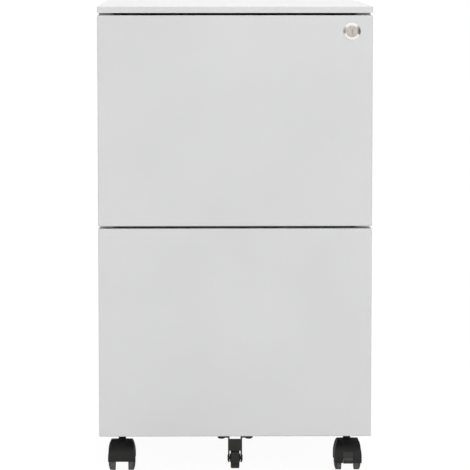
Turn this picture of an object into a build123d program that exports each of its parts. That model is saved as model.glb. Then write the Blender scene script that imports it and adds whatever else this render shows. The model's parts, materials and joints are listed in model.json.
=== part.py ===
"""Two-drawer mobile filing pedestal in folded sheet steel, on four twin-wheel casters.

The cabinet stands on the floor at z = 0, with its drawer fronts towards -Y and its width along X.
All sizes are in millimetres.
"""

import os
from math import cos, radians, sin, sqrt

from build123d import *

os.makedirs("parts", exist_ok=True)

# Overall size, above the casters
case_width = 390.0
case_depth = 500.0
front_height = 299.5
front_gap = 3.5
top_gap = 3.5
top_lip = 9.5

# Sheet metal and its folds
sheet = 0.8
bend_radius = 1.6
fold_clearance = 0.3

# Drawer fronts, with the finger grooves behind their edges
front_depth = 25.0
finger_gap = 14.0
finger_reach = 12.0
liner_radius = 3.0

# Case
lip_return = 12.0
channel_reach = 20.7
channel_depth = 26.0
back_flange = 15.0
base_drop = 1.0
base_flange = 16.0
upright_width = 40.0
upright_flange = 10.0
upright_setback = 60.0
bumper_diameter = 8.0
bumper_thickness = 1.2
bumper_gap = 0.2
bumper_inset = 40.0

# Telescopic slides and their ball cages
slide_thickness = 12.7
slide_height = 45.0
slide_sheet = 1.2
slide_lift = 60.0
slide_front_gap = 4.0
slide_rear_gap = 14.0
slide_tip_gap = 1.5
slide_web_gap = 1.0
hook_width = 8.0
hook_height = 12.0
hook_reach = 2.6
drawer_travel = 400.0
ball_diameter = 3.2
ball_clearance = 0.1
balls_per_cage = 5
ball_pitch = 30.0
cage_width = 5.0
cage_sheet = 0.8
cage_margin = 20.0

# Drawer tubs
tub_floor_gap = 5.0
tub_rear_gap = 20.0
tub_back_flange = 10.0
rail_thickness = 1.8
rail_rise = 8.0
rail_drop = 10.0
rail_end_gap = 1.0
rail_tongue_gap = 7.0

# Screws
screw_diameter = 4.0
screw_head_diameter = 8.0
screw_head_height = 2.2
screw_tail = 1.0
hole_clearance = 0.05
front_screw_inset = 40.0
slide_screw_inset = 40.0
slide_screws_per_side = 3

# Cam lock in the upper front
lock_drop = 22.5
lock_proud = 2.4
bezel_diameter = 24.6
bezel_rim = 0.5
bezel_land = 0.5
housing_diameter = 18.8
housing_length = 20.0
lock_nut_width = 24.0
lock_nut_height = 4.0
plug_diameter = 16.0
plug_recess = 0.5
plug_chamfer = 0.6
plug_rim = 2.2
plug_dish = 0.5
keyway_width = 1.8
keyway_height = 9.0
keyway_depth = 5.0
tail_diameter = 10.0
tail_square = 6.4
cam_gap = 0.6
cam_side_gap = 0.4
cam_screw_gap = 1.6
cam_thickness = 2.0
cam_radius = 7.0
cam_pin_radius = 2.0
cam_pin_boss = 4.2
bar_travel = 12.0

# Lock bar in the right front channel, and the catches that it blocks
bar_thickness = 1.5
bar_width = 14.0
bar_channel_gap = 4.5
bar_clearance = 0.3
lug_thickness = 2.0
lug_height = 8.0
lug_inset = 2.0
lug_tub_gap = 3.7
tongue_inset = 1.0
tongue_height = 14.0
tongue_end = 3.0
slot_clearance = 0.5
catch_height = 12.0
catch_channel_gap = 4.7
catch_thickness = 2.0
catch_length = 20.0
catch_rise = 22.0
catch_gap = 0.5
lug_gap = 2.0
guide_height = 14.0
guide_wall = 2.5
guide_lift = 40.0

# Casters
caster_inset_x = 31.6
caster_front_inset = 63.0
caster_rear_inset = 46.0
caster_trail = 18.0
wheel_radius = 21.0
wheel_width = 10.2
wheel_spacing = 18.6
tread_width = 7.8
tread_rounding = 1.8
hub_radius = 7.5
hub_groove_width = 1.2
hub_groove_depth = 0.8
wheel_cap = 2.0
hood_wall = 2.9
braked_hood_wall = 3.5
hood_headroom = 8.8
hood_crown = 1.2
hood_overhang = 0.2
hood_top_half_width = 15.4
hood_skirt = 5.0
braked_hood_skirt = 7.8
wheel_clearance = 0.9
web_clearance = 0.7
socket_radius = 9.0
socket_depth = 16.0
socket_drop = 4.0
axle_diameter = 6.0
axle_end_gap = 0.2
running_clearance = 0.05
stem_diameter = 11.0
stem_end_gap = 0.4
stem_thread_diameter = 8.0
stem_thread_tail = 2.0
stem_nut_width = 13.0
stem_nut_height = 6.5

# Brake lever, which turns about the axle
lever_width = 13.6
lever_slot_gap = 0.25
lever_arm_width = 9.0
lever_arm_height = 8.0
lever_hub_radius = 6.0
lever_angle = 19.0
lever_thickness = 3.4
lever_proud = 0.6
lip_drop = 1.8
lip_height = 2.6
lip_reach = 2.0

# Anti-tip wheel under the lower drawer front
anti_tip_back_gap = 12.0
anti_tip_clearance = 7.9
anti_tip_radius = 15.2
anti_tip_width = 12.6
anti_tip_rounding = 2.0
anti_tip_hub_radius = 6.0
anti_tip_hub_proud = 1.2
anti_tip_hub_gap = 0.5
anti_tip_axle_diameter = 5.0
bracket_sheet = 2.0
bracket_depth = 24.0
bracket_ear = 15.0
bracket_web_top = 3.8
bracket_web_gap = 0.6
bracket_foot_radius = 6.5
rivet_diameter = 9.0
rivet_height = 0.9
bolt_leg_gap = 9.5
bolt_diameter = 5.0
bolt_head_diameter = 10.0
bolt_head_height = 2.9
bolt_nut_width = 8.0
bolt_nut_height = 4.0

# Places worked out from the sizes above
half_width = case_width / 2
hood_radius = wheel_radius + wheel_clearance + hood_wall
braked_hood_radius = wheel_radius + wheel_clearance + braked_hood_wall
hood_half_width = wheel_spacing / 2 + wheel_width + hood_overhang
base_z = wheel_radius + braked_hood_radius + hood_headroom
base_top_z = base_z + base_flange
front_y = lock_proud - (case_depth + lock_proud) / 2
back_y = front_y + case_depth
pan_back_y = front_y + front_depth
case_front_y = pan_back_y + finger_gap
liner_back_y = case_front_y - bumper_thickness - bumper_gap
lower_front_z = base_z + base_drop
upper_front_z = lower_front_z + front_height + front_gap
top_z = upper_front_z + front_height + top_gap + top_lip
side_x = half_width - sheet
side_inner_x = side_x - sheet
side_top_z = top_z - sheet - bend_radius
side_back_y = back_y - sheet
back_inner_y = side_back_y - 2 * sheet
channel_x = side_inner_x - channel_reach
tub_half = channel_x - slide_thickness
tub_front_y = liner_back_y
tub_back_y = back_inner_y - tub_rear_gap
tub_length = tub_back_y - tub_front_y
tub_lift = base_flange - base_drop + tub_floor_gap
lock_reach = lock_drop + bar_travel / 2 + tongue_height / 2
tub_height = front_height - tub_lift - lock_reach - rail_tongue_gap - rail_rise
upright_y = back_inner_y - upright_setback
front_hook_y = case_front_y + channel_depth / 2
slide_front_y = case_front_y + slide_front_gap
slide_length = back_inner_y - slide_rear_gap - slide_front_y
race_gap = ball_diameter + 2 * ball_clearance
middle_height = slide_height - 2 * slide_sheet - 2 * race_gap
inner_height = middle_height - 2 * slide_sheet - 2 * race_gap
middle_web_x = channel_x - slide_sheet - slide_web_gap
inner_tip_x = middle_web_x - slide_sheet - slide_web_gap
cage_x = (tub_half + slide_tip_gap + inner_tip_x) / 2
cage_length = balls_per_cage * ball_pitch
cage_front_y = slide_front_y + drawer_travel / 4 + cage_margin
lock_x = channel_x - cam_radius - cam_side_gap
lock_z = upper_front_z + front_height - lock_drop
cam_front_y = liner_back_y + cam_gap
cam_back_y = cam_front_y + cam_thickness
pin_arm = bar_travel / 2 / sin(radians(45))
pin_rest_x = lock_x - pin_arm * cos(radians(45))
pin_rest_z = lock_z - bar_travel / 2
bar_x = channel_x + sheet + bar_channel_gap
tongue_front_y = cam_back_y + screw_head_height + cam_screw_gap
bar_front_y = tongue_front_y - tongue_inset
lug_front_y = bar_front_y + lug_inset
catch_front_y = lug_front_y + lug_thickness + catch_gap
hood_web_half = wheel_spacing / 2 - web_clearance
axle_half = wheel_spacing / 2 + wheel_width - wheel_cap
anti_tip_y = pan_back_y - anti_tip_back_gap
anti_tip_z = anti_tip_clearance + anti_tip_radius
anti_tip_hub_width = anti_tip_width + 2 * anti_tip_hub_proud
leg_x = anti_tip_hub_width / 2 + anti_tip_hub_gap + bracket_sheet
upper_tub_z = upper_front_z + tub_lift
lower_tub_z = lower_front_z + tub_lift


def slide_z(tub_z):
    """Height of the middle of a drawer's slides."""
    return tub_z + slide_lift


def catch_z(tub_z):
    """Height of the middle of a drawer's lock catch."""
    return slide_z(tub_z) + slide_height / 2 + catch_rise


def lug_z(tub_z):
    """Height of the middle of a drawer's lug on the unlocked lock bar."""
    return catch_z(tub_z) - catch_height / 2 - lug_gap - lug_height / 2


def save(part, name):
    """Label a finished sub-part and write it."""
    part.label = name
    export_step(part, f"parts/{name}.step")


def folded_sheet(plane, points, metal, side, length):
    """Sheet of metal folded along the points on a plane, with its metal on one side of them."""
    with BuildPart() as strip:
        with BuildSketch(plane):
            with BuildLine():
                FilletPolyline(*points, radius=bend_radius)
                offset(amount=metal, side=side)
            make_face()
        extrude(amount=length)
    return strip.part


def box(low, high, mode=Mode.ADD):
    """Add or cut a block between two corners."""
    size = [b - a for a, b in zip(low, high)]
    with Locations(low):
        Box(*size, align=(Align.MIN, Align.MIN, Align.MIN), mode=mode)


# Top panel: a shallow tray turned upside down, with a hem under its front lip
with BuildPart() as top_panel:
    box((-half_width, front_y, top_z - top_lip), (half_width, back_y, top_z))
    fillet(top_panel.edges().filter_by(Axis.Z) + top_panel.edges().group_by(Axis.Z)[-1], radius=bend_radius)
    offset(amount=-sheet, openings=top_panel.faces().sort_by(Axis.Z)[0])
    box(
        (bend_radius - half_width, front_y + sheet, top_z - top_lip),
        (half_width - bend_radius, front_y + lip_return, top_z - top_lip + sheet),
    )
save(top_panel.part, "top_panel")


def side_panel(hand):
    """Side panel with a rear flange and a front channel, which carries the front ends of the slides."""
    outline = [
        (hand * channel_x, case_front_y + channel_depth),
        (hand * channel_x, case_front_y),
        (hand * side_x, case_front_y),
        (hand * side_x, side_back_y),
        (hand * (side_x - back_flange), side_back_y),
    ]
    metal_side = Side.LEFT if hand > 0 else Side.RIGHT
    strip = folded_sheet(Plane.XY.offset(base_z), outline, sheet, metal_side, side_top_z - base_z)
    with BuildPart() as panel:
        add(strip)
        with Locations((hand * channel_x, case_front_y + sheet, base_z)):
            Box(
                4 * bend_radius,
                2 * channel_depth,
                2 * (base_flange + fold_clearance),
                align=(Align.CENTER, Align.MIN, Align.CENTER),
                mode=Mode.SUBTRACT,
            )
        with Locations(*[(hand * channel_x, front_hook_y, slide_z(z)) for z in (lower_tub_z, upper_tub_z)]):
            Box(
                4 * bend_radius,
                hook_width + 2 * fold_clearance,
                hook_height + 2 * fold_clearance,
                mode=Mode.SUBTRACT,
            )
    return panel


left_side_panel = side_panel(-1)
save(left_side_panel.part, "left_side_panel")

# Right side panel: the channel also has windows for the lugs and the tongue of the lock bar
right_side = side_panel(1)
with BuildPart() as right_side_panel:
    add(right_side.part)
    for z in (lower_tub_z, upper_tub_z):
        box(
            (channel_x - sheet, lug_front_y - slot_clearance, lug_z(z) - lug_height / 2 - slot_clearance),
            (
                channel_x + 2 * sheet,
                lug_front_y + lug_thickness + slot_clearance,
                lug_z(z) + lug_height / 2 + bar_travel + slot_clearance,
            ),
            mode=Mode.SUBTRACT,
        )
    box(
        (channel_x - sheet, tongue_front_y - slot_clearance, pin_rest_z - tongue_height / 2 - slot_clearance),
        (
            channel_x + 2 * sheet,
            tongue_front_y + lug_thickness + slot_clearance,
            pin_rest_z + tongue_height / 2 + bar_travel + slot_clearance,
        ),
        mode=Mode.SUBTRACT,
    )
save(right_side_panel.part, "right_side_panel")

# Back panel: a sheet with flanges along its top and bottom, inside the rear flanges of the sides
back_half_width = side_inner_x - bend_radius
back_outline = [
    (back_inner_y + sheet - back_flange, base_z + sheet),
    (back_inner_y + sheet, base_z + sheet),
    (back_inner_y + sheet, top_z - sheet),
    (back_inner_y + sheet - back_flange, top_z - sheet),
]
back_panel = folded_sheet(
    Plane.YZ.offset(-back_half_width), back_outline, sheet, Side.LEFT, 2 * back_half_width
)
save(back_panel, "back_panel")

# Base panel: a tray between the sides, open at the top and the rear, with a hole for each caster stem
caster_places = {
    "front_left": (caster_inset_x - half_width, front_y + caster_front_inset),
    "front_right": (half_width - caster_inset_x, front_y + caster_front_inset),
    "rear_left": (caster_inset_x - half_width, back_y - caster_rear_inset),
    "rear_right": (half_width - caster_inset_x, back_y - caster_rear_inset),
}
braked_casters = ("front_right", "rear_left")
with BuildPart() as base_panel:
    box((-side_inner_x, case_front_y + sheet, base_z), (side_inner_x, back_inner_y, base_top_z))
    front_corners = base_panel.edges().filter_by(Axis.Z).group_by(Axis.Y)[0]
    floor_folds = base_panel.edges().group_by(Axis.Z)[0].sort_by(Axis.Y)[:-1]
    fillet(front_corners + floor_folds, radius=bend_radius)
    open_faces = [base_panel.faces().sort_by(Axis.Z)[-1], base_panel.faces().sort_by(Axis.Y)[-1]]
    offset(amount=-sheet, openings=open_faces)
    with Locations(*[(x, y, base_z) for x, y in caster_places.values()]):
        Cylinder(stem_thread_diameter / 2 + hole_clearance, 4 * sheet, mode=Mode.SUBTRACT)
save(base_panel.part, "base_panel")

# Rear uprights: a hat channel on each side panel, slotted for the hooks of the slides
upright_foot_z = base_top_z + fold_clearance
upright_outline = [
    (side_inner_x, upright_y - upright_width / 2 - upright_flange),
    (side_inner_x, upright_y - upright_width / 2),
    (channel_x + sheet, upright_y - upright_width / 2),
    (channel_x + sheet, upright_y + upright_width / 2),
    (side_inner_x, upright_y + upright_width / 2),
    (side_inner_x, upright_y + upright_width / 2 + upright_flange),
]
right_upright = folded_sheet(
    Plane.XY.offset(upright_foot_z), upright_outline, sheet, Side.LEFT, side_top_z - upright_foot_z
)
with BuildPart() as rear_uprights:
    add(right_upright)
    with Locations(*[(channel_x, upright_y, slide_z(z)) for z in (lower_tub_z, upper_tub_z)]):
        Box(
            4 * bend_radius,
            hook_width + 2 * fold_clearance,
            hook_height + 2 * fold_clearance,
            mode=Mode.SUBTRACT,
        )
    mirror(about=Plane.YZ)
save(rear_uprights.part, "rear_uprights")

# Rubber bumpers on the case front, which stop the liners of the closed drawers
bumper_x = (channel_x + half_width - finger_reach) / 2
bumper_heights = [
    z + inset
    for z in (lower_front_z, upper_front_z)
    for inset in (bumper_inset, front_height - bumper_inset)
]
with BuildPart() as drawer_bumpers:
    with Locations(*[(x, case_front_y, z) for x in (-bumper_x, bumper_x) for z in bumper_heights]):
        Cylinder(
            bumper_diameter / 2,
            bumper_thickness,
            rotation=(90, 0, 0),
            align=(Align.CENTER, Align.CENTER, Align.MIN),
        )
save(drawer_bumpers.part, "drawer_bumpers")


def slide_member(web_x, tip_x, middle_z, height, hooks=()):
    """C-shaped member of a right-hand slide, with optional hooks on its web."""
    outline = [
        (tip_x, middle_z + height / 2),
        (web_x, middle_z + height / 2),
        (web_x, middle_z - height / 2),
        (tip_x, middle_z - height / 2),
    ]
    metal_side = Side.RIGHT if tip_x < web_x else Side.LEFT
    strip = folded_sheet(
        Plane.XZ.offset(-slide_front_y), outline, slide_sheet, metal_side, -slide_length
    )
    with BuildPart() as member:
        add(strip)
        for hook_y in hooks:
            box(
                (web_x - slide_sheet / 2, hook_y - hook_width / 2, middle_z - hook_height / 2),
                (web_x + hook_reach, hook_y + hook_width / 2, middle_z + hook_height / 2),
            )
    return member


def both_hands(right):
    """Copy a right-hand piece to the left, in one node."""
    with BuildPart() as pair:
        add(right)
        mirror(about=Plane.YZ)
    return pair.part


def ball_cage(level, middle_z):
    """Cages above and below the middle of the slides: strips with a row of balls in their holes."""
    ball_places = [
        (cage_x, cage_front_y + ball_pitch * (number + 0.5), middle_z + up * level)
        for up in (-1, 1)
        for number in range(balls_per_cage)
    ]
    with BuildPart() as cages:
        for up in (-1, 1):
            with Locations((cage_x, cage_front_y, middle_z + up * level)):
                Box(cage_width, cage_length, cage_sheet, align=(Align.CENTER, Align.MIN, Align.CENTER))
        with Locations(*ball_places):
            Cylinder(ball_diameter / 2 + ball_clearance, 2 * cage_sheet, mode=Mode.SUBTRACT)
        with Locations(*ball_places):
            Sphere(ball_diameter / 2)
    return cages


def drawer_slides(drawer, tub_z):
    """Two telescopic slides of a drawer, member by member."""
    middle_z = slide_z(tub_z)
    outers = slide_member(
        channel_x,
        tub_half + slide_tip_gap,
        middle_z,
        slide_height,
        hooks=(front_hook_y, upright_y),
    )
    save(both_hands(outers.part), f"{drawer}_slide_outers")

    middles = slide_member(middle_web_x, tub_half + 2 * slide_tip_gap, middle_z, middle_height)
    save(both_hands(middles.part), f"{drawer}_slide_middles")

    inners = slide_member(tub_half, inner_tip_x, middle_z, inner_height)
    with BuildPart() as drilled_inners:
        add(inners.part)
        with Locations(*[(tub_half, y, middle_z) for y in slide_screw_places]):
            Cylinder(
                screw_diameter / 2 + hole_clearance, 4 * slide_sheet, rotation=(0, 90, 0), mode=Mode.SUBTRACT
            )
    save(both_hands(drilled_inners.part), f"{drawer}_slide_inners")

    outer_stage = ball_cage((slide_height - race_gap) / 2 - slide_sheet, middle_z)
    save(both_hands(outer_stage.part), f"{drawer}_outer_ball_cages")
    inner_stage = ball_cage((middle_height - race_gap) / 2 - slide_sheet, middle_z)
    save(both_hands(inner_stage.part), f"{drawer}_inner_ball_cages")


slide_screw_step = (tub_length - 2 * slide_screw_inset) / (slide_screws_per_side - 1)
slide_screw_places = [
    tub_front_y + slide_screw_inset + number * slide_screw_step for number in range(slide_screws_per_side)
]
drawer_slides("upper", upper_tub_z)
drawer_slides("lower", lower_tub_z)


def front_screw_places(tub_z):
    """Middles of the screws that hold a tub to its liner."""
    return [
        (x, z)
        for x in (front_screw_inset - tub_half, tub_half - front_screw_inset)
        for z in (tub_z + front_screw_inset, tub_z + tub_height - front_screw_inset)
    ]


def drawer_front(front_z):
    """Front: a folded pan with rounded front edges, open at the back."""
    with BuildPart() as front:
        box((-half_width, front_y, front_z), (half_width, pan_back_y, front_z + front_height))
        fillet(front.edges().filter_by(Axis.Y) + front.edges().group_by(Axis.Y)[0], radius=bend_radius)
        offset(amount=-sheet, openings=front.faces().sort_by(Axis.Y)[-1])
    return front


def drawer_liner(front_z, tub_z):
    """Liner: closes the back of the pan, with a raised box that leaves a finger groove around it."""
    edge = sheet + fold_clearance
    with BuildPart() as liner:
        box(
            (finger_reach - half_width, pan_back_y - sheet, front_z + finger_reach),
            (half_width - finger_reach, liner_back_y, front_z + front_height - finger_reach),
        )
        fillet(liner.edges().filter_by(Axis.Y) + liner.edges().group_by(Axis.Y)[-1], radius=liner_radius)
        offset(amount=-sheet, openings=liner.faces().sort_by(Axis.Y)[0])
        with BuildSketch(Plane.XZ.offset(-pan_back_y)):
            with Locations((0, front_z + front_height / 2)):
                RectangleRounded(case_width - 2 * edge, front_height - 2 * edge, bend_radius)
                RectangleRounded(
                    case_width - 2 * (finger_reach + sheet),
                    front_height - 2 * (finger_reach + sheet),
                    liner_radius - sheet,
                    mode=Mode.SUBTRACT,
                )
        extrude(amount=sheet)
        with Locations(*[(x, liner_back_y, z) for x, z in front_screw_places(tub_z)]):
            Cylinder(
                screw_diameter / 2 + hole_clearance, 4 * sheet, rotation=(90, 0, 0), mode=Mode.SUBTRACT
            )
    return liner


def drawer_tub(tub_z):
    """Tub: folded floor, sides and front wall, open at the top and at the back."""
    with BuildPart() as tub:
        box((-tub_half, tub_front_y, tub_z), (tub_half, tub_back_y, tub_z + tub_height))
        fillet(tub.edges().filter_by(Axis.Y).group_by(Axis.Z)[0], radius=bend_radius)
        offset(amount=-sheet, openings=[tub.faces().sort_by(Axis.Z)[-1], tub.faces().sort_by(Axis.Y)[-1]])
        with Locations(*[(x, tub_front_y, z) for x, z in front_screw_places(tub_z)]):
            Cylinder(
                screw_diameter / 2 + hole_clearance, 4 * sheet, rotation=(90, 0, 0), mode=Mode.SUBTRACT
            )
        with Locations(*[(x, y, slide_z(tub_z)) for x in (-tub_half, tub_half) for y in slide_screw_places]):
            Cylinder(
                screw_diameter / 2 + hole_clearance, 4 * sheet, rotation=(0, 90, 0), mode=Mode.SUBTRACT
            )
    return tub


def drawer_back(tub_z):
    """Back of a tub: a shallow tray between the sides, with its flanges forward."""
    with BuildPart() as back:
        box(
            (sheet - tub_half, tub_back_y - tub_back_flange, tub_z + sheet),
            (tub_half - sheet, tub_back_y, tub_z + tub_height),
        )
        fillet(back.edges().filter_by(Axis.Y) + back.edges().group_by(Axis.Y)[-1], radius=bend_radius)
        offset(amount=-sheet, openings=back.faces().sort_by(Axis.Y)[0])
    return back


def hanging_rails(tub_z):
    """Rails along the tops of the tub's sides, on which hanging files ride."""
    rim = tub_z + tub_height
    with BuildPart() as rails:
        box(
            (tub_half - sheet - rail_thickness, tub_front_y + sheet + rail_end_gap, rim - rail_drop),
            (tub_half - sheet, tub_back_y - tub_back_flange - rail_end_gap, rim + rail_rise),
        )
        fillet(rails.edges().filter_by(Axis.Y).group_by(Axis.Z)[-1], radius=rail_thickness / 3)
        mirror(about=Plane.YZ)
    return rails


def pan_screw(seat, grip):
    """Screw with its head on the seat plane's outer side, through a grip of sheet."""
    with Locations(seat):
        Cylinder(
            screw_head_diameter / 2, screw_head_height, align=(Align.CENTER, Align.CENTER, Align.MIN)
        )
        Cylinder(
            screw_diameter / 2, grip + screw_tail, align=(Align.CENTER, Align.CENTER, Align.MAX)
        )


def drawer_screws(tub_z):
    """Screws inside a tub: through its front wall into the liner, and through its sides into the slides."""
    with BuildPart() as screws:
        for x, z in front_screw_places(tub_z):
            pan_screw(Plane((x, tub_front_y + sheet, z), z_dir=(0, 1, 0)), 2 * sheet)
        for hand in (-1, 1):
            for y in slide_screw_places:
                seat = (hand * (tub_half - sheet), y, slide_z(tub_z))
                pan_screw(Plane(seat, z_dir=(-hand, 0, 0)), sheet + slide_sheet)
    return screws


def lock_catch(tub_z):
    """Angle on the right side of a tub, which the lock bar's lug stands in front of."""
    middle_z = catch_z(tub_z)
    with BuildPart() as catch:
        box(
            (tub_half, catch_front_y, middle_z - catch_height / 2),
            (tub_half + catch_thickness, catch_front_y + catch_length, middle_z + catch_height / 2),
        )
        box(
            (tub_half, catch_front_y, middle_z - catch_height / 2),
            (channel_x - catch_channel_gap, catch_front_y + catch_thickness, middle_z + catch_height / 2),
        )
    return catch


# Lower drawer: the bottom of its front is drilled for the bolts of the anti-tip bracket
plain_lower_front = drawer_front(lower_front_z)
bolt_places = [(hand * (leg_x + bolt_leg_gap), anti_tip_y) for hand in (-1, 1)]
with BuildPart() as lower_drawer_front:
    add(plain_lower_front.part)
    with Locations(*[(x, y, lower_front_z) for x, y in bolt_places]):
        Cylinder(bolt_diameter / 2 + hole_clearance, 4 * sheet, mode=Mode.SUBTRACT)
save(lower_drawer_front.part, "lower_drawer_front")
save(drawer_liner(lower_front_z, lower_tub_z).part, "lower_drawer_liner")

# Upper drawer: its front is drilled for the lock, and its liner for the lock's tail
plain_upper_front = drawer_front(upper_front_z)
with BuildPart() as upper_drawer_front:
    add(plain_upper_front.part)
    with Locations((lock_x, front_y, lock_z)):
        Cylinder(
            housing_diameter / 2 + hole_clearance, 4 * sheet, rotation=(90, 0, 0), mode=Mode.SUBTRACT
        )
save(upper_drawer_front.part, "upper_drawer_front")
plain_upper_liner = drawer_liner(upper_front_z, upper_tub_z)
with BuildPart() as upper_drawer_liner:
    add(plain_upper_liner.part)
    with Locations((lock_x, liner_back_y, lock_z)):
        Cylinder(tail_diameter / 2 + fold_clearance, 4 * sheet, rotation=(90, 0, 0), mode=Mode.SUBTRACT)
save(upper_drawer_liner.part, "upper_drawer_liner")

for drawer, tub_z in (("upper", upper_tub_z), ("lower", lower_tub_z)):
    save(drawer_tub(tub_z).part, f"{drawer}_drawer_tub")
    save(drawer_back(tub_z).part, f"{drawer}_drawer_back")
    save(hanging_rails(tub_z).part, f"{drawer}_hanging_rails")
    save(drawer_screws(tub_z).part, f"{drawer}_drawer_screws")
    save(lock_catch(tub_z).part, f"{drawer}_lock_catch")

# Lock housing: a conical bezel in front of the drawer front, and a body behind it
lock_plane = Plane((lock_x, front_y, lock_z), x_dir=(1, 0, 0), z_dir=(0, 1, 0))
with BuildPart() as lock_housing:
    with Locations(lock_plane.offset(-bezel_rim)):
        Cylinder(bezel_diameter / 2, bezel_rim, align=(Align.CENTER, Align.CENTER, Align.MIN))
        Cone(
            plug_diameter / 2 + bezel_land,
            bezel_diameter / 2,
            lock_proud - bezel_rim,
            align=(Align.CENTER, Align.CENTER, Align.MAX),
        )
    with Locations(lock_plane):
        Cylinder(housing_diameter / 2, housing_length, align=(Align.CENTER, Align.CENTER, Align.MIN))
        Cylinder(
            plug_diameter / 2 + running_clearance, 2 * (housing_length + lock_proud), mode=Mode.SUBTRACT
        )
save(lock_housing.part, "lock_housing")

with BuildPart() as lock_nut:
    with BuildSketch(lock_plane.offset(sheet)):
        RegularPolygon(lock_nut_width / 2, 6, major_radius=False)
        Circle(housing_diameter / 2 + hole_clearance, mode=Mode.SUBTRACT)
    extrude(amount=lock_nut_height)
save(lock_nut.part, "lock_nut")

# Lock plug with a dished face and a keyway, a round tail through the liner and a square end for the cam
plug_face = plug_recess - lock_proud
with BuildPart() as lock_plug:
    with BuildSketch(lock_plane.offset(plug_face)):
        Circle(plug_diameter / 2)
    extrude(amount=housing_length - plug_face)
    chamfer(lock_plug.edges().sort_by(Axis.Y)[0], length=plug_chamfer)
    with BuildSketch(lock_plane.offset(plug_face)):
        Circle(plug_diameter / 2 - plug_rim)
    extrude(amount=plug_dish, mode=Mode.SUBTRACT)
    with BuildSketch(lock_plane.offset(plug_face)):
        Rectangle(keyway_width, keyway_height)
    extrude(amount=keyway_depth, mode=Mode.SUBTRACT)
    with BuildSketch(lock_plane.offset(housing_length)):
        Circle(tail_diameter / 2)
    extrude(amount=cam_front_y - front_y - housing_length)
    with BuildSketch(lock_plane.offset(cam_front_y - front_y)):
        Rectangle(tail_square, tail_square)
    extrude(amount=cam_thickness)
    with BuildSketch(lock_plane.offset(cam_back_y - front_y)):
        Circle(screw_diameter / 2 + hole_clearance)
    extrude(amount=-(cam_thickness + screw_head_diameter), mode=Mode.SUBTRACT)
save(lock_plug.part, "lock_plug")

# Cam: an arm with a pin, which lifts the tongue of the lock bar by a quarter turn of the key
with BuildPart() as lock_cam:
    with BuildSketch(Plane.XZ.offset(-cam_front_y)):
        with BuildSketch(mode=Mode.PRIVATE) as arm_ends:
            with Locations((lock_x, lock_z)):
                Circle(cam_radius)
            with Locations((pin_rest_x, pin_rest_z)):
                Circle(cam_pin_boss)
        make_hull(arm_ends.sketch.edges())
        with Locations((lock_x, lock_z)):
            Rectangle(
                tail_square + 2 * hole_clearance, tail_square + 2 * hole_clearance, mode=Mode.SUBTRACT
            )
    extrude(amount=-cam_thickness)
    with BuildSketch(Plane.XZ.offset(-cam_back_y)):
        with Locations((pin_rest_x, pin_rest_z)):
            Circle(cam_pin_radius)
    extrude(amount=-(tongue_front_y + 2 * lug_thickness - cam_back_y))
save(lock_cam.part, "lock_cam")

with BuildPart() as cam_screw:
    pan_screw(Plane((lock_x, cam_back_y, lock_z), z_dir=(0, 1, 0)), cam_thickness + screw_diameter)
save(cam_screw.part, "cam_screw")

# Lock bar: a strip in the right front channel, with a lug for each drawer and a slotted tongue
slot_left = lock_x - pin_arm - cam_pin_radius - slot_clearance
slot_right = pin_rest_x + cam_pin_radius + slot_clearance
bar_bottom_z = lug_z(lower_tub_z) - lug_height
bar_top_z = pin_rest_z + tongue_height / 2
with BuildPart() as lock_bar:
    box((bar_x, bar_front_y, bar_bottom_z), (bar_x + bar_thickness, bar_front_y + bar_width, bar_top_z))
    for z in (lower_tub_z, upper_tub_z):
        box(
            (tub_half + lug_tub_gap, lug_front_y, lug_z(z) - lug_height / 2),
            (bar_x + bar_thickness, lug_front_y + lug_thickness, lug_z(z) + lug_height / 2),
        )
    box(
        (slot_left - tongue_end, tongue_front_y, pin_rest_z - tongue_height / 2),
        (bar_x + bar_thickness, tongue_front_y + lug_thickness, pin_rest_z + tongue_height / 2),
    )
    box(
        (slot_left, tongue_front_y, pin_rest_z - cam_pin_radius - slot_clearance),
        (slot_right, tongue_front_y + lug_thickness, pin_rest_z + cam_pin_radius + slot_clearance),
        mode=Mode.SUBTRACT,
    )
save(lock_bar.part, "lock_bar")

# Guides: blocks in the corner of the channel, each with a slot in which the lock bar slides
guide_places = (catch_z(lower_tub_z) + guide_lift, catch_z(upper_tub_z) + guide_lift)
with BuildPart() as lock_bar_guides:
    for z in guide_places:
        box(
            (channel_x + sheet, case_front_y + sheet + bend_radius, z),
            (
                bar_x + bar_thickness + bar_clearance + guide_wall,
                bar_front_y + bar_width + bar_clearance + guide_wall,
                z + guide_height,
            ),
        )
    for z in guide_places:
        box(
            (bar_x - bar_clearance, bar_front_y - bar_clearance, z),
            (
                bar_x + bar_thickness + bar_clearance,
                bar_front_y + bar_width + bar_clearance,
                z + guide_height,
            ),
            mode=Mode.SUBTRACT,
        )
save(lock_bar_guides.part, "lock_bar_guides")

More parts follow.
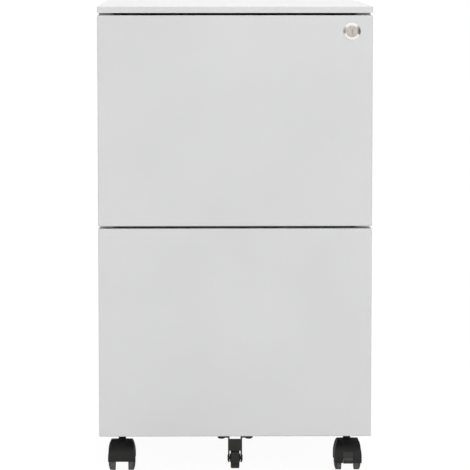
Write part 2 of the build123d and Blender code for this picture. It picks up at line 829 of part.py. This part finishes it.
# Anti-tip bracket: two legs with ears under the drawer front, joined by a web across their front
web_top_z = lower_front_z - bracket_web_top
web_front_y = anti_tip_y - bracket_depth / 2
web_setback = bracket_depth / 2 - bracket_sheet
web_bottom_z = anti_tip_z + sqrt((anti_tip_radius + bracket_web_gap) ** 2 - web_setback**2)
with BuildPart() as anti_tip_bracket:
    for hand in (-1, 1):
        with BuildSketch(Plane.YZ.offset(hand * leg_x)):
            with BuildSketch(mode=Mode.PRIVATE) as leg_ends:
                with Locations((anti_tip_y, lower_front_z)):
                    Rectangle(
                        bracket_depth, lower_front_z - web_bottom_z, align=(Align.CENTER, Align.MAX)
                    )
                with Locations((anti_tip_y, anti_tip_z)):
                    Circle(bracket_foot_radius)
            make_hull(leg_ends.sketch.edges())
            with Locations((anti_tip_y, anti_tip_z)):
                Circle(anti_tip_axle_diameter / 2 + hole_clearance, mode=Mode.SUBTRACT)
        extrude(amount=-hand * bracket_sheet)
        with Locations((hand * leg_x, anti_tip_y, lower_front_z)):
            Box(
                2 * bracket_ear,
                bracket_depth,
                bracket_sheet,
                align=(Align.CENTER, Align.CENTER, Align.MAX),
            )
    box(
        (bracket_sheet - leg_x, anti_tip_y - bracket_depth, lower_front_z - 2 * bracket_sheet),
        (leg_x - bracket_sheet, anti_tip_y + bracket_depth, lower_front_z),
        mode=Mode.SUBTRACT,
    )
    box(
        (bracket_sheet - leg_x, web_front_y, web_bottom_z),
        (leg_x - bracket_sheet, web_front_y + bracket_sheet, web_top_z),
    )
    with Locations(*[(x, y, lower_front_z) for x, y in bolt_places]):
        Cylinder(bolt_diameter / 2 + hole_clearance, 4 * bracket_sheet, mode=Mode.SUBTRACT)
save(anti_tip_bracket.part, "anti_tip_bracket")

# Anti-tip fasteners: the riveted axle, and two bolts with their nuts inside the drawer front
with BuildPart() as anti_tip_fasteners:
    with Locations((0, anti_tip_y, anti_tip_z)):
        Cylinder(anti_tip_axle_diameter / 2, 2 * leg_x, rotation=(0, 90, 0))
    for hand in (-1, 1):
        with BuildSketch(Plane.YZ.offset(hand * leg_x)):
            with Locations((anti_tip_y, anti_tip_z)):
                Circle(rivet_diameter / 2)
        extrude(amount=hand * rivet_height)
    fillet(anti_tip_fasteners.edges().group_by(Axis.X)[0], radius=rivet_height / 2)
    fillet(anti_tip_fasteners.edges().group_by(Axis.X)[-1], radius=rivet_height / 2)
    for x, y in bolt_places:
        with BuildSketch(Plane.XY.offset(lower_front_z - bracket_sheet)):
            with Locations((x, y)):
                Circle(bolt_head_diameter / 2)
        extrude(amount=-bolt_head_height)
    head_bottom_z = lower_front_z - bracket_sheet - bolt_head_height
    head_edges = anti_tip_fasteners.edges().filter_by(GeomType.CIRCLE).filter_by_position(
        Axis.Z, head_bottom_z - fold_clearance, head_bottom_z + fold_clearance
    )
    fillet(head_edges, radius=bolt_head_height / 2)
    for x, y in bolt_places:
        with BuildSketch(Plane.XY.offset(lower_front_z - bracket_sheet)):
            with Locations((x, y)):
                Circle(bolt_diameter / 2)
        extrude(amount=bracket_sheet + sheet + bolt_nut_height + screw_tail)
    with BuildSketch(Plane.XY.offset(lower_front_z + sheet)):
        with Locations(*bolt_places):
            RegularPolygon(bolt_nut_width / 2, 6, major_radius=False)
            Circle(bolt_diameter / 2 + hole_clearance, mode=Mode.SUBTRACT)
    extrude(amount=bolt_nut_height)
save(anti_tip_fasteners.part, "anti_tip_fasteners")

with BuildPart() as anti_tip_wheel:
    with Locations((0, anti_tip_y, anti_tip_z)):
        Cylinder(anti_tip_radius, anti_tip_width, rotation=(0, 90, 0))
    fillet(anti_tip_wheel.edges().filter_by(GeomType.CIRCLE), radius=anti_tip_rounding)
    with Locations((0, anti_tip_y, anti_tip_z)):
        Cylinder(anti_tip_hub_radius, anti_tip_hub_width, rotation=(0, 90, 0))
        Cylinder(
            anti_tip_axle_diameter / 2 + running_clearance,
            2 * anti_tip_hub_width,
            rotation=(0, 90, 0),
            mode=Mode.SUBTRACT,
        )
save(anti_tip_wheel.part, "anti_tip_wheel")


def caster_hood(radius, skirt, braked):
    """Hood of a caster whose stem stands at the origin: a fender over two wheels, with a stem socket."""
    top = wheel_radius + radius
    skirt_z = wheel_radius - skirt
    with BuildPart() as hood:
        with BuildSketch(Plane.YZ):
            with Locations((-caster_trail, wheel_radius)):
                Circle(radius)
        extrude(amount=hood_half_width, both=True)
        with Locations((0, 0, top - socket_drop)):
            Cylinder(socket_radius, socket_depth, align=(Align.CENTER, Align.CENTER, Align.MAX))
            Box(
                2 * hood_web_half,
                caster_trail,
                socket_depth,
                align=(Align.CENTER, Align.MAX, Align.MAX),
            )
        with BuildSketch(Plane.XZ):
            with BuildLine():
                rim = ThreePointArc(
                    (-hood_top_half_width, top - hood_crown), (0, top), (hood_top_half_width, top - hood_crown)
                )
                TangentArc((hood_half_width, wheel_radius), rim @ 1, tangent=(0, 1))
                TangentArc((-hood_half_width, wheel_radius), rim @ 0, tangent=(0, 1))
                Polyline(
                    (hood_half_width, wheel_radius),
                    (hood_half_width, skirt_z),
                    (-hood_half_width, skirt_z),
                    (-hood_half_width, wheel_radius),
                )
            make_face()
        extrude(amount=2 * (caster_trail + radius), both=True, mode=Mode.INTERSECT)
        for hand in (-1, 1):
            with BuildSketch(Plane.YZ.offset(hand * hood_web_half)):
                with Locations((-caster_trail, wheel_radius)):
                    Circle(wheel_radius + wheel_clearance)
            extrude(amount=hand * hood_half_width, mode=Mode.SUBTRACT)
        with Locations((0, -caster_trail, wheel_radius)):
            Cylinder(
                axle_diameter / 2 + running_clearance,
                2 * hood_half_width,
                rotation=(0, 90, 0),
                mode=Mode.SUBTRACT,
            )
        with Locations((0, 0, top - socket_drop)):
            Cylinder(
                stem_diameter / 2 + running_clearance,
                2 * (socket_depth - stem_end_gap),
                mode=Mode.SUBTRACT,
            )
        if braked:
            slot_half = lever_width / 2 + lever_slot_gap
            slot_top = wheel_radius + radius * sin(radians(lever_angle)) + lever_slot_gap
            slot_back = lever_hub_radius + lever_slot_gap - caster_trail
            box(
                (-slot_half, -2 * (caster_trail + radius), 0),
                (slot_half, slot_back, slot_top),
                mode=Mode.SUBTRACT,
            )
    return hood


def caster_wheel(hand):
    """Wheel of a caster, with a rounded tread, a domed outer face around a hub cap and a blind bore."""
    inner_x = hand * wheel_spacing / 2
    tread_x = inner_x + hand * tread_width
    outer_x = inner_x + hand * wheel_width
    groove_x = outer_x - hand * hub_groove_depth
    bore_x = hand * (axle_half + axle_end_gap)
    bore_top = wheel_radius + axle_diameter / 2 + running_clearance
    hub_top = wheel_radius + hub_radius
    groove_top = hub_top + hub_groove_width
    with BuildPart() as wheel:
        with BuildSketch(Plane.XZ.offset(caster_trail)):
            with BuildLine():
                rim = Polyline(
                    (bore_x, wheel_radius),
                    (bore_x, bore_top),
                    (inner_x, bore_top),
                    (inner_x, 2 * wheel_radius),
                    (tread_x, 2 * wheel_radius),
                )
                TangentArc((outer_x, groove_top), rim @ 1, tangent=(0, 1))
                Polyline(
                    (outer_x, groove_top),
                    (groove_x, groove_top),
                    (groove_x, hub_top),
                    (outer_x, hub_top),
                    (outer_x, wheel_radius),
                    (bore_x, wheel_radius),
                )
            make_face()
        revolve(axis=Axis((0, -caster_trail, wheel_radius), (1, 0, 0)))
        tread_edges = wheel.edges().filter_by(GeomType.CIRCLE).sort_by(SortBy.RADIUS)[-2:]
        fillet(tread_edges, radius=tread_rounding)
    return wheel


def brake_lever():
    """Pedal with a sloped lip in the slot of a braked hood, on an arm that turns about the axle."""
    pad_outer = braked_hood_radius + lever_proud
    pad_inner = pad_outer - lever_thickness
    pivot = (-caster_trail, wheel_radius)
    lip_y = -caster_trail - pad_outer
    lip_top_z = wheel_radius - lip_drop + lip_height / 2
    with BuildPart() as lever:
        with BuildSketch(Plane.YZ):
            with Locations(pivot):
                Circle(lever_hub_radius)
                Rectangle(pad_inner + lever_thickness / 2, lever_arm_height, align=(Align.MAX, Align.CENTER))
        extrude(amount=lever_arm_width / 2, both=True)
        with BuildSketch(Plane.YZ):
            with BuildLine():
                outer = CenterArc(pivot, pad_outer, 180 - lever_angle, 2 * lever_angle)
                inner = CenterArc(pivot, pad_inner, 180 - lever_angle, 2 * lever_angle)
                Line(outer @ 0, inner @ 0)
                Line(outer @ 1, inner @ 1)
            make_face()
            with BuildLine():
                Polyline(
                    (lip_y, lip_top_z),
                    (lip_y - lip_reach, lip_top_z - lip_height),
                    (lip_y + lip_reach, lip_top_z - lip_height),
                    (lip_y + lip_reach, lip_top_z),
                    close=True,
                )
            make_face()
        extrude(amount=lever_width / 2, both=True)
        with Locations((0, -caster_trail, wheel_radius)):
            Cylinder(
                axle_diameter / 2 + running_clearance,
                2 * lever_width,
                rotation=(0, 90, 0),
                mode=Mode.SUBTRACT,
            )
    return lever


with BuildPart() as caster_axle:
    with Locations((0, -caster_trail, wheel_radius)):
        Cylinder(axle_diameter / 2, 2 * axle_half, rotation=(0, 90, 0))

plain_hood = caster_hood(hood_radius, hood_skirt, braked=False)
braked_hood = caster_hood(braked_hood_radius, braked_hood_skirt, braked=True)
left_wheel = caster_wheel(-1)
right_wheel = caster_wheel(1)
lever = brake_lever()

for corner, (x, y) in caster_places.items():
    place = Location((x, y, 0))
    is_braked = corner in braked_casters
    save((braked_hood if is_braked else plain_hood).part.moved(place), f"{corner}_caster_hood")
    save(caster_axle.part.moved(place), f"{corner}_caster_axle")
    save(left_wheel.part.moved(place), f"{corner}_left_wheel")
    save(right_wheel.part.moved(place), f"{corner}_right_wheel")
    if is_braked:
        save(lever.part.moved(place), f"{corner}_brake_lever")

# Caster fixings: stems shouldered under the base, and the nuts that hold them on top of it
with BuildPart() as caster_fixings:
    for corner, (x, y) in caster_places.items():
        radius = braked_hood_radius if corner in braked_casters else hood_radius
        foot_z = wheel_radius + radius - socket_drop - socket_depth + 2 * stem_end_gap
        with BuildSketch(Plane.XY.offset(foot_z)):
            with Locations((x, y)):
                Circle(stem_diameter / 2)
        extrude(amount=base_z - foot_z)
        with BuildSketch(Plane.XY.offset(base_z)):
            with Locations((x, y)):
                Circle(stem_thread_diameter / 2)
        extrude(amount=sheet + stem_nut_height + stem_thread_tail)
    with BuildSketch(Plane.XY.offset(base_z + sheet)):
        with Locations(*caster_places.values()):
            RegularPolygon(stem_nut_width / 2, 6, major_radius=False)
            Circle(stem_thread_diameter / 2 + hole_clearance, mode=Mode.SUBTRACT)
    extrude(amount=stem_nut_height)
save(caster_fixings.part, "caster_fixings")
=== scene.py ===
"""Looks of a two-drawer mobile filing pedestal: a material for each finish, light, floor and camera.

Everything is in metres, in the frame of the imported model: fronts towards -Y, floor at z = 0.
"""

import json
import math

import bpy
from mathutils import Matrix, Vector


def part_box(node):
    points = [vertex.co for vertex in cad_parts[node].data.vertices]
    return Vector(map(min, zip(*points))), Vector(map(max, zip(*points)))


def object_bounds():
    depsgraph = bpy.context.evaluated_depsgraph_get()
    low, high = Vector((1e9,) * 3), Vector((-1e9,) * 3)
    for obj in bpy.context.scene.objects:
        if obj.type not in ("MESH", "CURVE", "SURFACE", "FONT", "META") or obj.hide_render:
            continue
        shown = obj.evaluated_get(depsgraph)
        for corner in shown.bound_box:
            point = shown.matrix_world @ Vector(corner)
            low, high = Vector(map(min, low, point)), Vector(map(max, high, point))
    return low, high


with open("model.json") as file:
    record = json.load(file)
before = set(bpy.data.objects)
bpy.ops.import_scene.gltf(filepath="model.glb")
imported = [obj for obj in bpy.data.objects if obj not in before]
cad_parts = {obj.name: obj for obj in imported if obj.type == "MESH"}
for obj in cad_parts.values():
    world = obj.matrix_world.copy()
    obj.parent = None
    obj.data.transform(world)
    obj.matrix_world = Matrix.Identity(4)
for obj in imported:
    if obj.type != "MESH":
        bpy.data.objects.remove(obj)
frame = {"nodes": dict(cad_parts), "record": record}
cad_low, cad_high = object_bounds()

# Camera of the photograph, with its angles in degrees and its sensor in millimetres
IMAGE_SIZE = 470
FOCAL_PIXELS = 2823.3
SENSOR_WIDTH = 36.0
CAMERA_REACH = 100.0
CAMERA_DISTANCE = 4.0
CAMERA_X = -0.0626
CAMERA_ABOVE_TOP = 0.0798
CAMERA_PITCH = 5.777
CAMERA_YAW = 0.893

# Soft lamps, at a level where a colour renders about as it is written
LAMPS = {
    "key_light": {"width": 2.4, "height": 2.4, "power": 34.0, "place": (0.9, -2.6, 2.7)},
    "fill_light": {"width": 3.4, "height": 2.2, "power": 31.0, "place": (0.3, -4.4, 2.0)},
    "top_light": {"width": 1.8, "height": 1.8, "power": 26.0, "place": (0.0, 0.3, 2.8)},
}

# World, as the camera, the light and a reflection see it, and how far to the side it darkens
BACKDROP_LEVEL = 1.0
SKY_LEVEL = 0.62
SKY_SIDE_LEVEL = 0.40
REFLECTED_LEVEL = 1.0
REFLECTED_SIDE_LEVEL = 0.08
SIDE_FADE_START = 0.55
SIDE_FADE_END = 0.85

# Floor, and how much of its white glow the camera and a reflection see
FLOOR = (0.74, 0.74, 0.74, 1)
FLOOR_WIDTH = 3.0
FLOOR_LENGTH = 12.0
FLOOR_ROUGHNESS = 0.9
FLOOR_GLOSS = 0.1
FLOOR_GLOW = 1.06
FLOOR_GLOW_SHARE = 0.90
FLOOR_MIRRORED = 0.5

# Finishes, as linear colours
PAINT = (0.715, 0.716, 0.718, 1)
PAINT_SHADE = (0.690, 0.691, 0.694, 1)
# Paler rounded edges of the powder coat: light wear, and partly a painted highlight where the folds catch
# the light
PAINT_EDGE_WEAR_AND_HIGHLIGHT = (0.760, 0.760, 0.760, 1)
ZINC = (0.560, 0.565, 0.575, 1)
ZINC_SHADE = (0.430, 0.436, 0.450, 1)
ROLLED_STEEL = (0.600, 0.605, 0.615, 1)
ROLLED_SHADE = (0.440, 0.445, 0.455, 1)
BOLT_STEEL = (0.420, 0.425, 0.435, 1)
BOLT_SHADE = (0.300, 0.305, 0.315, 1)
BALL_STEEL = (0.720, 0.725, 0.735, 1)
BALL_SHADE = (0.560, 0.565, 0.580, 1)
CHROME = (0.930, 0.928, 0.925, 1)
CHROME_SHADE = (0.840, 0.838, 0.832, 1)
NICKEL = (0.700, 0.650, 0.590, 1)
NICKEL_SHADE = (0.290, 0.255, 0.220, 1)
BLACK_STEEL = (0.017, 0.017, 0.015, 1)
BLACK_STEEL_SHADE = (0.010, 0.010, 0.009, 1)
BLACK_NYLON = (0.0135, 0.0135, 0.0125, 1)
BLACK_NYLON_SHADE = (0.0090, 0.0090, 0.0084, 1)
LEVER_NYLON = (0.032, 0.030, 0.029, 1)
LEVER_NYLON_SHADE = (0.022, 0.020, 0.020, 1)
# Paler colour painted on the up-facing lip of the brake levers: a painted highlight of light from above
LEVER_LIP_PAINTED_HIGHLIGHT = (0.062, 0.059, 0.057, 1)
WHEEL_NYLON = (0.014, 0.014, 0.013, 1)
TREAD = (0.090, 0.090, 0.085, 1)
TREAD_DUST = (0.135, 0.133, 0.126, 1)
RUBBER = (0.030, 0.030, 0.031, 1)
RUBBER_SHADE = (0.020, 0.020, 0.021, 1)

# Range that most of a noise lies in
NOISE_LOW = 0.35
NOISE_HIGH = 0.65

# Paler edges, from wear and on the powder coat partly a painted highlight: the turn of a rounded edge's
# normal, as a cosine, and how much paler rubbed nylon is
EDGE_SAMPLES = 6
EDGE_COSINE = 0.86
FLAT_COSINE = 0.995
RUBBED_GAIN = 2.2


class Nodes:
    """A node tree under construction."""

    def __init__(self, tree):
        self.tree = tree

    def node(self, kind, **settings):
        """Add a node with its own settings."""
        made = self.tree.nodes.new(kind)
        for key, value in settings.items():
            setattr(made, key, value)
        return made

    def link(self, output, target):
        self.tree.links.new(output, target)

    def feed(self, value, target):
        """Link an output to a socket, or set the socket to a number or colour."""
        if isinstance(value, bpy.types.NodeSocket):
            self.link(value, target)
        else:
            target.default_value = value

    def calculate(self, operation, *values):
        """Work on one or two values, each a number or an output."""
        made = self.node("ShaderNodeMath", operation=operation)
        for socket, value in zip(made.inputs, values):
            self.feed(value, socket)
        return made.outputs["Value"]

    def along(self, vector, axis):
        """How far a vector reaches along an axis, X, Y or Z."""
        split = self.node("ShaderNodeSeparateXYZ")
        self.link(vector, split.inputs["Vector"])
        return split.outputs[axis]

    def span(self, value, low, high, start=0.0, end=1.0):
        """Go from low to high as a value goes from start to end, and stay there beyond."""
        made = self.node("ShaderNodeMapRange")
        for socket, number in (("From Min", start), ("From Max", end), ("To Min", low), ("To Max", high)):
            made.inputs[socket].default_value = number
        self.link(value, made.inputs["Value"])
        return made.outputs["Result"]

    def mix(self, factor, first, second, kind="RGBA"):
        """Mix two colours, or two numbers if the kind is FLOAT, each a value or an output.

        The node has sockets for every kind, and only those of its own kind are enabled.
        """
        made = self.node("ShaderNodeMix", data_type=kind)
        sockets = [socket for socket in made.inputs if socket.enabled]
        for socket, value in zip(sockets, (factor, first, second)):
            self.feed(value, socket)
        return next(socket for socket in made.outputs if socket.enabled)


class Finish(Nodes):
    """A material under construction, with its shader, and each point's place and facing on the object."""

    def __init__(self, name):
        self.material = bpy.data.materials.new(name)
        self.material.use_nodes = True
        super().__init__(self.material.node_tree)
        self.shader = self.tree.nodes["Principled BSDF"]
        coordinates = self.node("ShaderNodeTexCoord")
        self.place = coordinates.outputs["Object"]
        self.facing = coordinates.outputs["Normal"]

    def noise(self, per_metre, detail=3.0, place=None):
        """Noise with so many features a metre."""
        made = self.node("ShaderNodeTexNoise")
        made.inputs["Scale"].default_value = per_metre
        made.inputs["Detail"].default_value = detail
        self.link(place or self.place, made.inputs["Vector"])
        return made.outputs["Fac"]

    def streaks(self, per_metre, detail):
        """Noise that is drawn out, with so many features a metre along each axis."""
        mapping = self.node("ShaderNodeMapping")
        mapping.inputs["Scale"].default_value = per_metre
        self.link(self.place, mapping.inputs["Vector"])
        return self.noise(per_metre=1.0, detail=detail, place=mapping.outputs["Vector"])

    def cells(self, per_metre):
        """Random grey of each cell, with so many cells a metre."""
        made = self.node("ShaderNodeTexVoronoi")
        made.inputs["Scale"].default_value = per_metre
        self.link(self.place, made.inputs["Vector"])
        return made.outputs["Color"]

    def rise(self, value, start=NOISE_LOW, end=NOISE_HIGH, top=1.0):
        """0 up to the start, then rising to the top at the end."""
        return self.span(value, low=0.0, high=top, start=start, end=end)

    def edges(self, radius):
        """1 on edges that a bevel of that radius would round, and 0 elsewhere."""
        bevel = self.node("ShaderNodeBevel", samples=EDGE_SAMPLES)
        bevel.inputs["Radius"].default_value = radius
        geometry = self.node("ShaderNodeNewGeometry")
        cosine = self.node("ShaderNodeVectorMath", operation="DOT_PRODUCT")
        self.link(bevel.outputs["Normal"], cosine.inputs[0])
        self.link(geometry.outputs["Normal"], cosine.inputs[1])
        return self.span(cosine.outputs["Value"], low=1.0, high=0.0, start=EDGE_COSINE, end=FLAT_COSINE)

    def fix(self, socket, value):
        """Set one of the shader's own sockets to a value that is the same all over."""
        self.shader.inputs[socket].default_value = value

    def colour(self, output):
        self.link(output, self.shader.inputs["Base Color"])

    def roughness(self, value, low, high):
        self.link(self.span(value, low, high), self.shader.inputs["Roughness"])

    def bump(self, height, depth, below=None):
        """Bump of that depth, on top of another bump."""
        made = self.node("ShaderNodeBump")
        made.inputs["Strength"].default_value = 1.0
        made.inputs["Distance"].default_value = depth
        self.link(height, made.inputs["Height"])
        if below:
            self.link(below, made.inputs["Normal"])
        self.link(made.outputs["Normal"], self.shader.inputs["Normal"])
        return made.outputs["Normal"]


def powder_coat():
    """Light grey powder coat: orange peel, a fine speckle, and slightly paler edges, partly light wear and
    partly a painted highlight.
    """
    paint = Finish("powder_coat")
    cloud = paint.noise(per_metre=7.0)
    speckle = paint.noise(per_metre=1500.0, detail=2.0)
    tone = paint.mix(paint.rise(cloud), PAINT_SHADE, PAINT)
    tone = paint.mix(paint.rise(speckle, start=0.56, end=0.72, top=0.55), tone, PAINT_SHADE)
    # Rounded edges painted slightly paler: light wear, and partly a painted highlight where the folds catch
    # the light
    paint.colour(paint.mix(paint.edges(radius=0.0012), tone, PAINT_EDGE_WEAR_AND_HIGHLIGHT))
    paint.roughness(paint.noise(per_metre=240.0), low=0.40, high=0.52)
    peel = paint.bump(paint.noise(per_metre=420.0, detail=1.0), depth=0.00005)
    paint.bump(speckle, depth=0.000018, below=peel)
    paint.fix("Specular IOR Level", 0.42)
    return paint.material


def plated_steel(name, colour, shade, cells, smoothest, roughest):
    """Plated steel with a faint spangle of so many cells a metre, and fine rubbed marks."""
    steel = Finish(name)
    spangle = steel.cells(per_metre=cells)
    cloud = steel.noise(per_metre=60.0)
    tone = steel.mix(steel.rise(spangle, start=0.0, end=1.0, top=0.6), colour, shade)
    steel.colour(steel.mix(steel.rise(cloud, start=0.45, end=0.70, top=0.5), tone, shade))
    steel.roughness(spangle, low=smoothest, high=roughest)
    steel.bump(steel.noise(per_metre=1100.0), depth=0.000012)
    steel.fix("Metallic", 1.0)
    return steel.material


def rolled_steel():
    """Bright rolled steel of the slides, with lines along the way that they run and traces of grease."""
    steel = Finish("slide_steel")
    lines = steel.streaks(per_metre=(1400.0, 8.0, 1400.0), detail=4.0)
    grease = steel.noise(per_metre=35.0)
    tone = steel.mix(steel.rise(lines), ROLLED_SHADE, ROLLED_STEEL)
    steel.colour(steel.mix(steel.rise(grease, start=0.55, end=0.75, top=0.35), tone, ROLLED_SHADE))
    steel.roughness(lines, low=0.24, high=0.40)
    steel.bump(lines, depth=0.000010)
    steel.fix("Metallic", 1.0)
    return steel.material


def polished(name, colour, shade, smears, smoothest, roughest):
    """Polished metal with faint smears, so many a metre, and hairline scratches."""
    metal = Finish(name)
    smear = metal.noise(per_metre=smears)
    scratches = metal.streaks(per_metre=(350.0, 350.0, 5200.0), detail=5.0)
    metal.colour(metal.mix(metal.rise(smear, start=0.45, end=0.75, top=0.8), colour, shade))
    metal.roughness(smear, low=smoothest, high=roughest)
    metal.bump(scratches, depth=0.000003)
    metal.fix("Metallic", 1.0)
    return metal.material


def moulded(name, colour, shade, smoothest, roughest, gloss, painted_top_highlight=None):
    """Black finish with a fine moulded grain and edges rubbed a little paler.

    Faces that look up are painted a paler colour, where one is given, as a painted highlight of light from
    above.
    """
    nylon = Finish(name)
    grain = nylon.noise(per_metre=2200.0, detail=2.0)
    handled = nylon.noise(per_metre=55.0)
    tone = nylon.mix(nylon.rise(handled), shade, colour)
    if painted_top_highlight:
        # Faces that look up are painted paler: a painted highlight of light from above
        upward = nylon.along(nylon.facing, "Z")
        tone = nylon.mix(nylon.rise(upward, start=0.45, end=0.58), tone, painted_top_highlight)
    rubbed = tuple(RUBBED_GAIN * channel for channel in colour[:3]) + (1,)
    edges = nylon.edges(radius=0.0006)
    nylon.colour(nylon.mix(nylon.rise(edges, start=0.0, end=1.0, top=0.5), tone, rubbed))
    nylon.roughness(handled, low=smoothest, high=roughest)
    nylon.bump(grain, depth=0.000020)
    nylon.fix("Specular IOR Level", gloss)
    return nylon.material


def wheel_nylon():
    """Black nylon wheels, greyer and scuffed where the tread meets the floor."""
    wheel = Finish("wheel_nylon")
    sideways = wheel.calculate("ABSOLUTE", wheel.along(wheel.facing, "X"))
    tread = wheel.span(sideways, low=1.0, high=0.0, start=0.02, end=0.30)
    scuffs = wheel.noise(per_metre=420.0, detail=4.0)
    worn = wheel.mix(wheel.rise(scuffs, start=0.42, end=0.66), TREAD, TREAD_DUST)
    wheel.colour(wheel.mix(tread, WHEEL_NYLON, worn))
    wheel.roughness(scuffs, low=0.45, high=0.72)
    wheel.bump(wheel.noise(per_metre=1800.0), depth=0.000025)
    return wheel.material


def soft_rubber():
    """Soft matte rubber of the bumpers."""
    rubber = Finish("rubber")
    mottle = rubber.noise(per_metre=700.0)
    rubber.colour(rubber.mix(mottle, RUBBER_SHADE, RUBBER))
    rubber.roughness(mottle, low=0.70, high=0.90)
    rubber.bump(mottle, depth=0.000030)
    return rubber.material


# One material for each slot of the record
MATERIALS = {
    "powder_coat": powder_coat(),
    "slide_steel": rolled_steel(),
    "zinc_steel": plated_steel(
        "zinc_steel", ZINC, ZINC_SHADE, cells=160.0, smoothest=0.31, roughest=0.44
    ),
    "bolt_steel": plated_steel(
        "bolt_steel", BOLT_STEEL, BOLT_SHADE, cells=900.0, smoothest=0.29, roughest=0.42
    ),
    "ball_steel": polished(
        "ball_steel", BALL_STEEL, BALL_SHADE, smears=180.0, smoothest=0.098, roughest=0.210
    ),
    "lock_chrome": polished(
        "lock_chrome", CHROME, CHROME_SHADE, smears=180.0, smoothest=0.049, roughest=0.105
    ),
    "lock_nickel": polished(
        "lock_nickel", NICKEL, NICKEL_SHADE, smears=420.0, smoothest=0.21, roughest=0.45
    ),
    "black_steel": moulded(
        "black_steel", BLACK_STEEL, BLACK_STEEL_SHADE, smoothest=0.36, roughest=0.50, gloss=0.34
    ),
    "black_nylon": moulded(
        "black_nylon", BLACK_NYLON, BLACK_NYLON_SHADE, smoothest=0.46, roughest=0.60, gloss=0.34
    ),
    # The levers' up-facing lip gets a painted highlight
    "lever_nylon": moulded(
        "lever_nylon", LEVER_NYLON, LEVER_NYLON_SHADE,
        smoothest=0.42, roughest=0.56, gloss=0.40, painted_top_highlight=LEVER_LIP_PAINTED_HIGHLIGHT,
    ),
    "wheel_nylon": wheel_nylon(),
    "rubber": soft_rubber(),
}
for subpart in frame["record"]["subparts"]:
    mesh = frame["nodes"][subpart["node"]].data
    mesh.materials.clear()
    mesh.materials.append(MATERIALS[subpart["material_slot"]])


def softbox(name, width, height, power, place):
    """Large soft lamp, aimed at the middle of the object, that lights it but doesn't mirror in it."""
    data = bpy.data.lights.new(name, "AREA")
    data.shape = "RECTANGLE"
    data.size = width
    data.size_y = height
    data.energy = power
    lamp = bpy.data.objects.new(name, data)
    lamp.visible_glossy = False
    lamp.location = place
    beam = (cad_low + cad_high) / 2 - Vector(place)
    lamp.rotation_euler = beam.to_track_quat("-Z", "Y").to_euler()
    bpy.context.scene.collection.objects.link(lamp)


for lamp_name, lamp_settings in LAMPS.items():
    softbox(lamp_name, **lamp_settings)


def studio_world():
    """White behind the object, grey for its light, and darker towards the sides."""
    world = bpy.data.worlds.new("studio")
    world.use_nodes = True
    bpy.context.scene.world = world
    studio = Nodes(world.node_tree)
    direction = studio.node("ShaderNodeTexCoord").outputs["Generated"]
    sideways = studio.calculate("ABSOLUTE", studio.along(direction, "X"))
    fade = {"start": SIDE_FADE_START, "end": SIDE_FADE_END}
    light = studio.span(sideways, low=SKY_LEVEL, high=SKY_SIDE_LEVEL, **fade)
    reflection = studio.span(sideways, low=REFLECTED_LEVEL, high=REFLECTED_SIDE_LEVEL, **fade)
    rays = studio.node("ShaderNodeLightPath").outputs
    seen = studio.calculate("MAXIMUM", rays["Is Camera Ray"], rays["Is Transmission Ray"])
    unseen_level = studio.mix(rays["Is Glossy Ray"], light, reflection, kind="FLOAT")
    level = studio.mix(seen, unseen_level, BACKDROP_LEVEL, kind="FLOAT")
    background = studio.tree.nodes["Background"]
    background.inputs["Color"].default_value = (1, 1, 1, 1)
    studio.link(level, background.inputs["Strength"])


studio_world()


def floor():
    """Pale floor that looks white to the camera, less so in reflections, and keeps a faint shadow."""
    finish = Finish("floor")
    finish.fix("Base Color", FLOOR)
    finish.fix("Roughness", FLOOR_ROUGHNESS)
    finish.fix("Specular IOR Level", FLOOR_GLOSS)
    glow = finish.node("ShaderNodeEmission")
    glow.inputs["Strength"].default_value = FLOOR_GLOW
    rays = finish.node("ShaderNodeLightPath").outputs
    mirrored = finish.calculate("MULTIPLY", rays["Is Glossy Ray"], FLOOR_MIRRORED)
    seen = finish.calculate("MAXIMUM", rays["Is Camera Ray"], mirrored)
    blend = finish.node("ShaderNodeMixShader")
    finish.link(finish.span(seen, low=0.0, high=FLOOR_GLOW_SHARE), blend.inputs["Fac"])
    finish.link(finish.shader.outputs["BSDF"], blend.inputs[1])
    finish.link(glow.outputs["Emission"], blend.inputs[2])
    finish.link(blend.outputs["Shader"], finish.tree.nodes["Material Output"].inputs["Surface"])

    mesh = bpy.data.meshes.new("floor")
    side = FLOOR_WIDTH / 2
    end = FLOOR_LENGTH / 2
    corners = [(-side, -end, 0), (side, -end, 0), (side, end, 0), (-side, end, 0)]
    mesh.from_pydata(corners, [], [(0, 1, 2, 3)])
    mesh.materials.append(finish.material)
    sheet = bpy.data.objects.new("floor", mesh)
    bpy.context.scene.collection.objects.link(sheet)


floor()


def photo_camera():
    """Camera of the photograph: far off, a little above the top, looking slightly down and to the right."""
    data = bpy.data.cameras.new("camera")
    data.sensor_width = SENSOR_WIDTH
    data.lens = SENSOR_WIDTH * FOCAL_PIXELS / IMAGE_SIZE
    data.clip_end = CAMERA_REACH
    camera = bpy.data.objects.new("camera", data)
    front_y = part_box("upper_drawer_front")[0].y
    camera.location = (CAMERA_X, front_y - CAMERA_DISTANCE, cad_high.z + CAMERA_ABOVE_TOP)
    camera.rotation_euler = (math.radians(90 - CAMERA_PITCH), 0, math.radians(-CAMERA_YAW))
    bpy.context.scene.collection.objects.link(camera)
    bpy.context.scene.camera = camera


photo_camera()
bpy.context.scene.view_settings.view_transform = "Standard"
